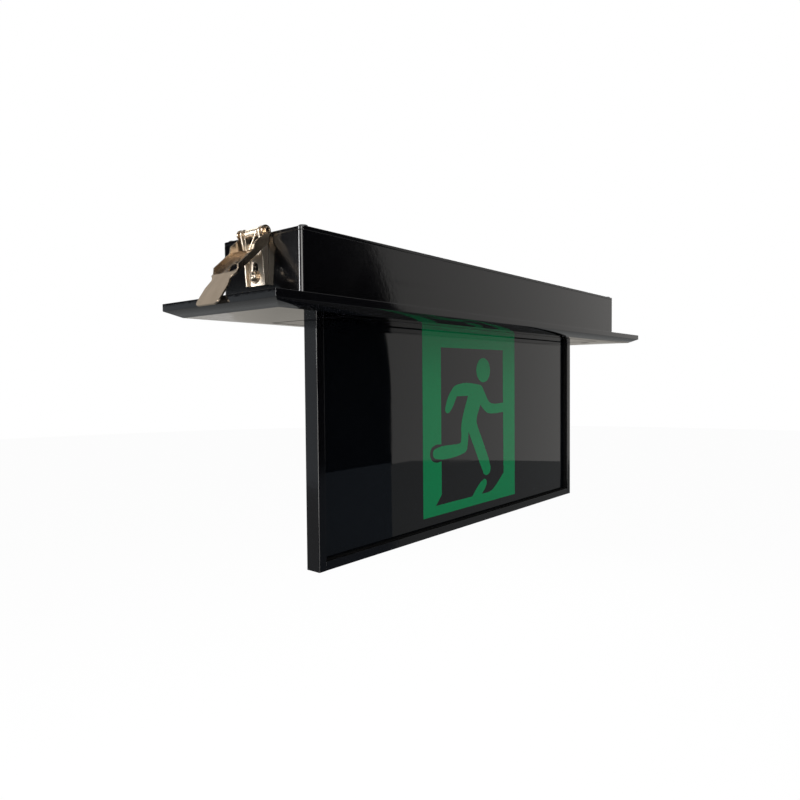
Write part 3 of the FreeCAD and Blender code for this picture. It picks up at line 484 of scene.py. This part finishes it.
sides = (("left", -1), ("right", 1))  # each clip's side and the sign of its X
cutters = {f"clip_{side}_lever": webCutter(side, sign) for side, sign in sides}
madeBelow = ("clip_left_spring", "clip_right_spring", "clip_left_screw", "clip_right_screw")
for node in sorted(nodes):
    if node in madeBelow:
        continue
    if node in softened:
        dressNode(node, softened[node], cutters.get(node))
    else:
        wear(nodes[node], finishes[slotOf[node]])
print("nodes dressed")


# screws

clipScrew = {"radius": 2.6, "height": 1.9, "recess": 1.1, "arm": 1.4, "blade": 0.4,
             "shank": 2.0, "sides": 32}
lidScrew = {"radius": 2.6, "height": 1.3, "recess": 0.8, "arm": 1.35, "blade": 0.4, "inset": 4.2,
            "turns": (0.5, 0.9)}
# shares of the head's radius and height, from the middle of its dome to the middle of its foot
headOutline = [(0.0, 1.0), (0.45, 0.98), (0.78, 0.84), (0.95, 0.55), (1.0, 0.25), (1.0, 0.0), (0.0, 0.0)]
headSteps, recessTaper = 40, 0.55


def screwHead(look):
    # a domed head about Z from a turned outline, with a cross recess cut into it
    bm = bmesh.new()
    verts = [bm.verts.new((r * look["radius"] * mm, 0, h * look["height"] * mm)) for r, h in headOutline]
    edges = [bm.edges.new(pair) for pair in zip(verts, verts[1:])]
    bmesh.ops.spin(bm, geom=verts + edges, cent=(0, 0, 0), axis=(0, 0, 1), angle=math.tau,
                   steps=headSteps, use_merge=True)
    bmesh.ops.remove_doubles(bm, verts=bm.verts, dist=weld)
    bmesh.ops.recalc_face_normals(bm, faces=bm.faces)
    head = bpy.data.meshes.new("headBlank")
    bm.to_mesh(head)
    bm.free()
    bm = bmesh.new()
    for turn in (0, math.pi / 2):
        bar = bmesh.ops.create_cube(bm, size=1)
        place = Matrix.Translation((0, 0, look["height"] * mm)) @ Matrix.Rotation(turn, 4, "Z")
        size = Matrix.Diagonal([2 * look[key] * mm for key in ("arm", "blade", "recess")]).to_4x4()
        bmesh.ops.transform(bm, matrix=place @ size, verts=bar["verts"])
        low = [v for v in bar["verts"] if v.co.z < look["height"] * mm]
        bmesh.ops.scale(bm, vec=(recessTaper, recessTaper, 1), verts=low)
    cutter = bpy.data.meshes.new("headCutter")
    bm.to_mesh(cutter)
    bm.free()
    return cutAway(head, cutter)


def placeScrew(name, head, matrix, material, stands=None, shank=None):
    bm = bmesh.new()
    bm.from_mesh(head)
    if shank:
        radius, length = shank
        addRod(bm, radius, length, clipScrew["sides"], Matrix.Translation((0, 0, -length / 2)))
    bmesh.ops.transform(bm, matrix=matrix, verts=bm.verts)
    addPiece(name, bm, material, "body", stands, smooth=35)


lidHead = screwHead(lidScrew)
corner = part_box("top_cover")[1]
firstTurn, secondTurn = lidScrew["turns"]
for across, end in ((-1, "Left"), (1, "Right")):
    for side, face in ((-1, "Front"), (1, "Back")):
        x = across * (corner.x - lidScrew["inset"] * mm)
        y = side * (corner.y - lidScrew["inset"] * mm)
        turn = Matrix.Rotation(firstTurn * across + secondTurn * side, 4, "Z")
        placeScrew(f"lidScrew{end}{face}", lidHead, Matrix.Translation((x, y, corner.z)) @ turn,
                   made["blackScrew"])

clipHead = screwHead(clipScrew)
for side, sign in sides:
    node = f"clip_{side}_screw"
    low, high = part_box(f"clip_{side}_screw")
    middle = (low + high) / 2
    headFoot = (high.x if sign > 0 else low.x) - sign * clipScrew["height"] * mm
    turn = Matrix.Rotation(sign * math.pi / 2, 4, "Y")
    length = high.x - low.x - clipScrew["height"] * mm
    placeScrew(camelName(node), clipHead, Matrix.Translation((headFoot, middle.y, middle.z)) @ turn,
               made["springSteel"], node, (clipScrew["shank"] * mm, length))
print("screws made")


# torsion springs, coil and legs apart, because the legs follow the lever

# lengths in mm and places on the lever's own axes; the wire is a little thin, so turns don't merge
spring = {
    "wire": 0.35, "thin": 0.98, "inner": 1.72, "turns": 15, "pitch": 0.74, "steps": 20, "sides": 10,
    "legEnd": (9.0, 1.4, -4.35), "legTop": (1.27, 5.2, 1.64), "tipRings": 6,
}


def makeCoil(name, place, stands):
    wire = spring["wire"] * spring["thin"] * mm
    mean = (spring["inner"] + spring["wire"]) * mm
    turns, pitch = spring["turns"] - 1, spring["pitch"] * mm
    bm = bmesh.new()
    ring = bmesh.ops.create_circle(bm, radius=wire, segments=spring["sides"])
    bmesh.ops.translate(bm, vec=(mean, -turns * pitch / 2, 0), verts=ring["verts"])
    bmesh.ops.spin(bm, geom=list(bm.verts) + list(bm.edges), cent=(0, 0, 0), axis=(0, 1, 0),
                   dvec=(0, pitch / spring["steps"], 0), angle=turns * math.tau,
                   steps=turns * spring["steps"])
    bmesh.ops.holes_fill(bm, edges=[edge for edge in bm.edges if edge.is_boundary], sides=0)
    bmesh.ops.recalc_face_normals(bm, faces=bm.faces)
    bmesh.ops.transform(bm, matrix=place, verts=bm.verts)
    addPiece(name, bm, made["springSteel"], "body", stands, smooth=60)


def makeLegs(name, place, body):
    wire = spring["wire"] * spring["thin"] * mm
    bm = bmesh.new()
    for hand in (-1, 1):
        top, end = Vector(spring["legTop"]) * mm, Vector(spring["legEnd"]) * mm
        top.y, end.y = hand * top.y, hand * end.y
        way = end - top
        turn = way.to_track_quat("Z", "Y").to_matrix().to_4x4()
        addRod(bm, wire, way.length, spring["sides"], Matrix.Translation((top + end) / 2) @ turn)
        bmesh.ops.create_uvsphere(bm, u_segments=spring["sides"], v_segments=spring["tipRings"],
                                  radius=wire, matrix=Matrix.Translation(end))
    bmesh.ops.transform(bm, matrix=place, verts=bm.verts)
    addPiece(name, bm, made["springSteel"], body, smooth=60)


for side, sign in sides:
    place = leverPlace(side, sign)
    makeCoil(f"clip{side.capitalize()}Coil", place, f"clip_{side}_spring")
    makeLegs(f"clip{side.capitalize()}SpringLegs", place, f"clip_{side}_arm")
print("springs made")


# the printed safety sign

# places on the sheet in mm, x along the blade and z up; a number after them rounds the line there
pictogram = {
    "thickness": 0.04,
    "curveSteps": 6,
    "frame": [(-59.5, -3.5), (62.8, -3.5), (62.8, -140.1), (-59.5, -140.1)],
    "head": (15.8, -35.1, 9.6),
    "opening": [
        (-38.6, -19.0), (44.4, -18.6), (44.6, -61.7), (28.0, -61.7, 1), (24.6, -60.6, 1),
        (16.8, -51.6, 1), (13.2, -47.4, 1), (9.0, -46.3, 1), (-19.4, -46.2, 1), (-24.4, -48.6, 1),
        (-33.4, -62.0, 1), (-33.6, -65.4, 1), (-30.6, -66.9, 1), (-27.0, -65.0, 1), (-19.5, -54.8),
        (-5.0, -54.8), (-11.2, -68.2, 1), (-13.7, -76.0, 1), (-14.2, -87.4, 1), (-14.8, -89.6, 1),
        (-17.0, -90.4, 1), (-43.6, -91.4, 1), (-47.9, -93.4, 1), (-47.9, -97.0, 1),
        (-44.6, -99.2, 1), (-10.8, -98.2, 1), (-7.4, -96.4, 1), (-5.9, -92.4, 1), (-4.6, -82.2),
        (14.6, -114.6, 1), (17.0, -117.8, 1), (21.8, -118.4, 1), (25.4, -115.2, 1),
        (24.9, -110.6, 1), (6.9, -77.4, 1), (6.2, -74.8, 1), (11.4, -62.2), (19.6, -68.2, 1),
        (23.4, -69.4, 1), (44.6, -69.4), (45.2, -119.6), (29.4, -130.8, 1), (24.6, -132.4, 1),
        (13.4, -132.6), (17.4, -129.0, 1), (20.0, -124.6, 1), (18.2, -121.6, 1), (14.6, -121.9, 1),
        (-0.4, -132.9), (-45.2, -132.9), (-38.4, -125.6), (-38.4, -101.4), (-45.8, -101.6, 1),
        (-50.9, -98.2, 1), (-50.9, -92.2, 1), (-46.0, -89.2, 1), (-38.6, -89.0),
    ],
}


def addLoop(curve, points):
    line = curve.splines.new("BEZIER")
    line.bezier_points.add(len(points) - 1)
    line.use_cyclic_u = True
    line.resolution_u = pictogram["curveSteps"]
    for knot, spot in zip(line.bezier_points, points):
        knot.co = (spot[0] * mm, spot[1] * mm, 0)
        kind = "AUTO" if len(spot) > 2 else "VECTOR"
        knot.handle_left_type = knot.handle_right_type = kind


def printedSign(name, turn, face):
    curve = bpy.data.curves.new(name, "CURVE")
    curve.dimensions = "2D"
    curve.fill_mode = "BOTH"
    curve.extrude = pictogram["thickness"] * mm / 2
    addLoop(curve, pictogram["frame"])
    addLoop(curve, pictogram["opening"])
    x, z, radius = pictogram["head"]
    addLoop(curve, [(x + radius, z, 1), (x, z + radius, 1), (x - radius, z, 1), (x, z - radius, 1)])
    flat = bpy.data.objects.new("signCurve", curve)
    bpy.context.scene.collection.objects.link(flat)
    bpy.context.view_layer.update()
    mesh = bpy.data.meshes.new_from_object(flat.evaluated_get(bpy.context.evaluated_depsgraph_get()))
    bpy.data.objects.remove(flat)
    bm = bmesh.new()
    bm.from_mesh(mesh)
    bmesh.ops.remove_doubles(bm, verts=bm.verts, dist=weld)
    bmesh.ops.recalc_face_normals(bm, faces=bm.faces)
    upright = Matrix.Rotation(math.pi / 2, 4, "X")
    place = Matrix.Rotation(turn, 4, "Z") @ Matrix.Translation((0, -face - curve.extrude, 0))
    bmesh.ops.transform(bm, matrix=place @ upright, verts=bm.verts)
    addPiece(name, bm, made["signGreen"], "body")


# each face of the blade: its name, its turn about Z and how far its sheet stands out
faces = (("Front", 0, -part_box("legend_sheet_front")[0].y),
         ("Back", math.pi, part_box("legend_sheet_back")[1].y))
for name, turn, out in faces:
    printedSign(f"sign{name}", turn, out)
print("signs printed")


# painted shade: a matt black strip in the form of a seal, a U on each face, in the groove between panel
# and frame, where it stands for the dark shade line
shadeStrip = {"height": 0.6, "depth": 3.2, "soft": 0.25, "overlap": 0.15}


def makeShadeStrip(name, turn, face):
    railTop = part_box("blade_bottom_rail")[1].z
    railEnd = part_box("blade_bottom_rail")[1].x
    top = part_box("carrier_plate")[0].z
    height, depth, overlap = (shadeStrip[key] * mm for key in ("height", "depth", "overlap"))
    bm = bmesh.new()
    bars = [((0, railTop + height / 2), (2 * (railEnd - height), height))]
    bars += [((hand * (railEnd - height / 2), (railTop + top) / 2), (height, top - railTop))
             for hand in (-1, 1)]
    for (x, z), (wide, tall) in bars:
        place = Matrix.Translation((x, -face - depth / 2 + overlap, z))
        bmesh.ops.create_cube(bm, size=1, matrix=place @ Matrix.Diagonal((wide, depth, tall, 1)))
    bmesh.ops.bevel(bm, geom=bm.edges[:], offset=shadeStrip["soft"] * mm, affect="EDGES", segments=2,
                    profile=0.5, material=-1, clamp_overlap=True)
    bmesh.ops.rotate(bm, cent=(0, 0, 0), matrix=Matrix.Rotation(turn, 3, "Z"), verts=bm.verts)
    addPiece(name, bm, made["sealBlack"], "body")


for name, turn, out in faces:
    makeShadeStrip(f"seal{name}", turn, out)
print("shadeStrips made")


# the dark joint line round the carrier plate
joint = {"width": 0.8, "thickness": 0.04}


def makeJointLine():
    low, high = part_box("carrier_plate")
    width, thickness = joint["width"] * mm, joint["thickness"] * mm
    bm = bmesh.new()
    size = Matrix.Diagonal((high.x - low.x + width, high.y - low.y + width, 1, 1))
    ring = Matrix.Translation((0, 0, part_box("trim_plate")[0].z - thickness / 2)) @ size
    bmesh.ops.create_grid(bm, x_segments=1, y_segments=1, size=0.5, matrix=ring)
    bmesh.ops.inset_region(bm, faces=bm.faces[:], thickness=width, use_boundary=True,
                           use_even_offset=True)
    inner = min(bm.faces, key=lambda face: max(abs(v.co.x) for v in face.verts))
    bmesh.ops.delete(bm, geom=[inner], context="FACES")
    bmesh.ops.solidify(bm, geom=bm.faces[:], thickness=thickness)
    bmesh.ops.recalc_face_normals(bm, faces=bm.faces)
    addPiece("carrierJointLine", bm, made["sealBlack"], "body")


makeJointLine()
print("joint line made")


# stage, light and camera

# the floor shows as white as the world, but keeps a share of its own light, so it holds the shadow
stage = {"floor": -0.75, "radius": 9.0, "sides": 96, "white": 0.86, "share": 0.93, "world": 0.75}


def addToScene(name, bm, material):
    mesh = bpy.data.meshes.new(name)
    bm.to_mesh(mesh)
    bm.free()
    item = bpy.data.objects.new(name, mesh)
    bpy.context.scene.collection.objects.link(item)
    item.data.materials.append(material)
    return item


def stageMaterial(name, build):
    material = bpy.data.materials.new(name)
    material.use_nodes = True
    tree = material.node_tree
    tree.nodes.clear()
    build(tree, tree.nodes.new("ShaderNodeOutputMaterial"))
    return material


def whiteRays(tree):
    # 1 for what the camera, a reflection or a clear piece looks at
    path = tree.nodes.new("ShaderNodeLightPath")
    first = tree.nodes.new("ShaderNodeMath")
    second = tree.nodes.new("ShaderNodeMath")
    for node in (first, second):
        node.operation = "ADD"
        node.use_clamp = True
    tree.links.new(path.outputs["Is Camera Ray"], first.inputs[0])
    tree.links.new(path.outputs["Is Glossy Ray"], first.inputs[1])
    tree.links.new(first.outputs[0], second.inputs[0])
    tree.links.new(path.outputs["Is Transmission Ray"], second.inputs[1])
    return second.outputs[0]


def floorNodes(tree, result):
    mix = tree.nodes.new("ShaderNodeMixShader")
    pale = tree.nodes.new("ShaderNodeBsdfDiffuse")
    give(pale, {"Color": (stage["white"], stage["white"], stage["white"], 1)})
    glow = tree.nodes.new("ShaderNodeEmission")
    share = tree.nodes.new("ShaderNodeMath")
    share.operation = "MULTIPLY"
    give(share, {1: stage["share"]})
    join(tree,
         (whiteRays(tree), share.inputs[0]), (share.outputs[0], mix.inputs[0]),
         (pale.outputs[0], mix.inputs[1]), (glow.outputs[0], mix.inputs[2]),
         (mix.outputs[0], result.inputs["Surface"]))


bm = bmesh.new()
bmesh.ops.create_circle(bm, cap_ends=True, segments=stage["sides"], radius=stage["radius"],
                        matrix=Matrix.Translation((0, 0, stage["floor"])))
floor = addToScene("floor", bm, stageMaterial("floorWhite", floorNodes))

world = bpy.data.worlds.new("studio")
bpy.context.scene.world = world
world.use_nodes = True
tree = world.node_tree
tree.nodes.clear()
plain = tree.nodes.new("ShaderNodeBackground")
seen = tree.nodes.new("ShaderNodeBackground")
mix = tree.nodes.new("ShaderNodeMixShader")
result = tree.nodes.new("ShaderNodeOutputWorld")
give(plain, {"Color": (1, 1, 1, 1), "Strength": stage["world"]})
give(seen, {"Color": (1, 1, 1, 1)})
join(tree,
     (whiteRays(tree), mix.inputs[0]), (plain.outputs[0], mix.inputs[1]),
     (seen.outputs[0], mix.inputs[2]), (mix.outputs[0], result.inputs["Surface"]))

# cards beside the set, as black gloss needs them: they show in reflections alone.
# The tones are at the low and the high end along X, and lean bends the high end as it climbs
cards = {
    "right": {"from": (-1.3, -1.5, -0.9), "to": (1.55, -1.5, 2.2), "lean": -0.045, "tones": (0, 0)},
    "bright": {"from": (1.2, -1.52, -0.9), "to": (7.0, -1.52, 2.2), "tones": (0.58, 1)},
    "edge": {"from": (-1.25, -0.8, -0.6), "to": (-1.25, -0.2, 0.5), "tones": (6.8, 6.8)},
    "edgeLow": {"from": (-0.57, -0.55, -0.38), "to": (-0.36, -0.55, -0.06), "tones": (9, 9)},
    "left": {"from": (-1.3, -1.5, 0.251), "to": (-1.3, 2.6, 2.2), "tones": (0, 0)},
    "leftLow": {"from": (-1.32, -1.5, -0.9), "to": (-1.32, 2.9, 0.26), "tones": (0.45, 0.45),
                "tint": (0.93, 1, 1.06)},
    "back": {"from": (-0.9, 1.7, 0.34), "to": (2.2, 1.7, 1.1), "tones": (0.4, 0.4)},
    "backLeft": {"from": (-0.9, 1.69, 0.85), "to": (-0.12, 1.69, 1.5), "tones": (0.46, 0.46)},
    "backHigh": {"from": (-0.9, 1.72, 1.06), "to": (2.2, 1.72, 5.0), "tones": (0.1, 0.1)},
}
cardTint = (1, 0.98, 0.95)
leanCurve = {"start": -0.1, "reach": 0.3, "most": 2, "steps": 31}  # by the square of the climb
discs = {
    "low": {"radius": 2.28, "height": -0.4, "tone": (0.235, 0.24, 0.24)},
    "lowDark": {"radius": 2.28, "height": -0.39, "tone": (0.085, 0.1, 0.12),
                "cut": ((-0.09, 0, -0.39), (0.676, 0.737, 0))},
    "lowFar": {"radius": 60.0, "height": -0.41, "tone": (0.37, 0.35, 0.315),
               "cut": ((0, 0, -0.4), (0.3, -1, 0))},
}
discSides = 128


def cardMaterial(name, start, end, tones, tint):
    # glows from one tone to the other along X
    def build(tree, result):
        glow = tree.nodes.new("ShaderNodeEmission")
        spot = tree.nodes.new("ShaderNodeTexCoord")
        split = tree.nodes.new("ShaderNodeSeparateXYZ")
        ramp = tree.nodes.new("ShaderNodeMapRange")
        give(glow, {"Color": (*tint, 1)})
        give(ramp, {"From Min": start, "From Max": end, "To Min": tones[0], "To Max": tones[1]})
        join(tree,
             (spot.outputs["Object"], split.inputs[0]), (split.outputs["X"], ramp.inputs["Value"]),
             (ramp.outputs["Result"], glow.inputs["Strength"]),
             (glow.outputs[0], result.inputs["Surface"]))
    return stageMaterial(name, build)


def addCard(name, bm, start, end, tones, tint):
    card = addToScene(name, bm, cardMaterial(name, start, end, tones, tint))
    card.visible_camera = card.visible_diffuse = card.visible_shadow = card.visible_transmission = False


for name, look in cards.items():
    low, high = Vector(look["from"]), Vector(look["to"])
    middle, size = (low + high) / 2, high - low
    across = size.x if size.x else size.y
    lean = look.get("lean", 0)
    turn = Euler((math.pi / 2, 0, 0 if size.x else math.pi / 2)).to_matrix().to_4x4()
    place = Matrix.Translation(middle) @ turn @ Matrix.Diagonal((across, size.z, 1, 1))
    bm = bmesh.new()
    bmesh.ops.create_grid(bm, x_segments=1, y_segments=leanCurve["steps"] if lean else 1, size=0.5,
                          matrix=place)
    for v in bm.verts:
        if lean and v.co.x > middle.x:
            climb = (v.co.z - leanCurve["start"]) / leanCurve["reach"]
            v.co.x += lean * min(leanCurve["most"], max(0, climb)) ** 2
    addCard(f"card{name.capitalize()}", bm, low.x, high.x + mm, look["tones"], look.get("tint", cardTint))

for name, look in discs.items():
    bm = bmesh.new()
    bmesh.ops.create_circle(bm, cap_ends=True, segments=discSides, radius=look["radius"],
                            matrix=Matrix.Translation((0, 0, look["height"])))
    if "cut" in look:
        spot, way = look["cut"]
        bmesh.ops.bisect_plane(bm, geom=bm.verts[:] + bm.edges[:] + bm.faces[:], plane_co=spot,
                               plane_no=way, clear_outer=True)
    addCard(f"card{name.capitalize()}", bm, -1, 1, (1, 1), look["tone"])

# area lamps, in metres and watts
lamps = {
    "key": {"place": (-1.1, -1.2, 0.75), "size": (0.3, 0.5), "power": 4},
    "side": {"place": (-1.16, 0.68, 0.24), "size": (0.32, 0.5), "power": 10},
    "top": {"place": (-0.2, 0.1, 1.5), "size": (1.8, 1.2), "power": 16},
    "far": {"place": (1.7, 0.9, 0.6), "size": (0.8, 1.2), "power": 6},
}
aim = Vector((0, 0, -0.03))  # what every lamp points at
for name, look in lamps.items():
    data = bpy.data.lights.new(name, "AREA")
    data.shape = "RECTANGLE"
    data.size, data.size_y = look["size"]
    data.energy = look["power"]
    lamp = bpy.data.objects.new(name, data)
    bpy.context.scene.collection.objects.link(lamp)
    lamp.location = look["place"]
    lamp.rotation_euler = (aim - Vector(look["place"])).to_track_quat("-Z", "Y").to_euler()

# solved from the photo: metres and degrees, with yaw turned from +Y towards +X
camera = {
    "place": (-0.401688, -0.284246, -0.041162), "yaw": 51.998, "pitch": -1.964, "roll": -0.356,
    "lens": 28.6767, "sensor": 36, "shift": -0.05, "clip": (0.01, 50),
}
data = bpy.data.cameras.new("camera")
data.lens = camera["lens"]
data.sensor_width = camera["sensor"]
data.shift_x = camera["shift"]
data.clip_start, data.clip_end = camera["clip"]
eye = bpy.data.objects.new("camera", data)
bpy.context.scene.collection.objects.link(eye)
yaw, pitch, roll = (math.radians(camera[angle]) for angle in ("yaw", "pitch", "roll"))
ahead = Vector((math.sin(yaw) * math.cos(pitch), math.cos(yaw) * math.cos(pitch), math.sin(pitch)))
level = Vector((math.cos(yaw), -math.sin(yaw), 0))
upward = level.cross(ahead)
right = level * math.cos(roll) + upward * math.sin(roll)
up = upward * math.cos(roll) - level * math.sin(roll)
axes = Matrix((right, up, -ahead)).transposed().to_4x4()
eye.matrix_world = Matrix.Translation(camera["place"]) @ axes
bpy.context.scene.camera = eye
bpy.context.scene.view_settings.view_transform = "Standard"
print("stage set")
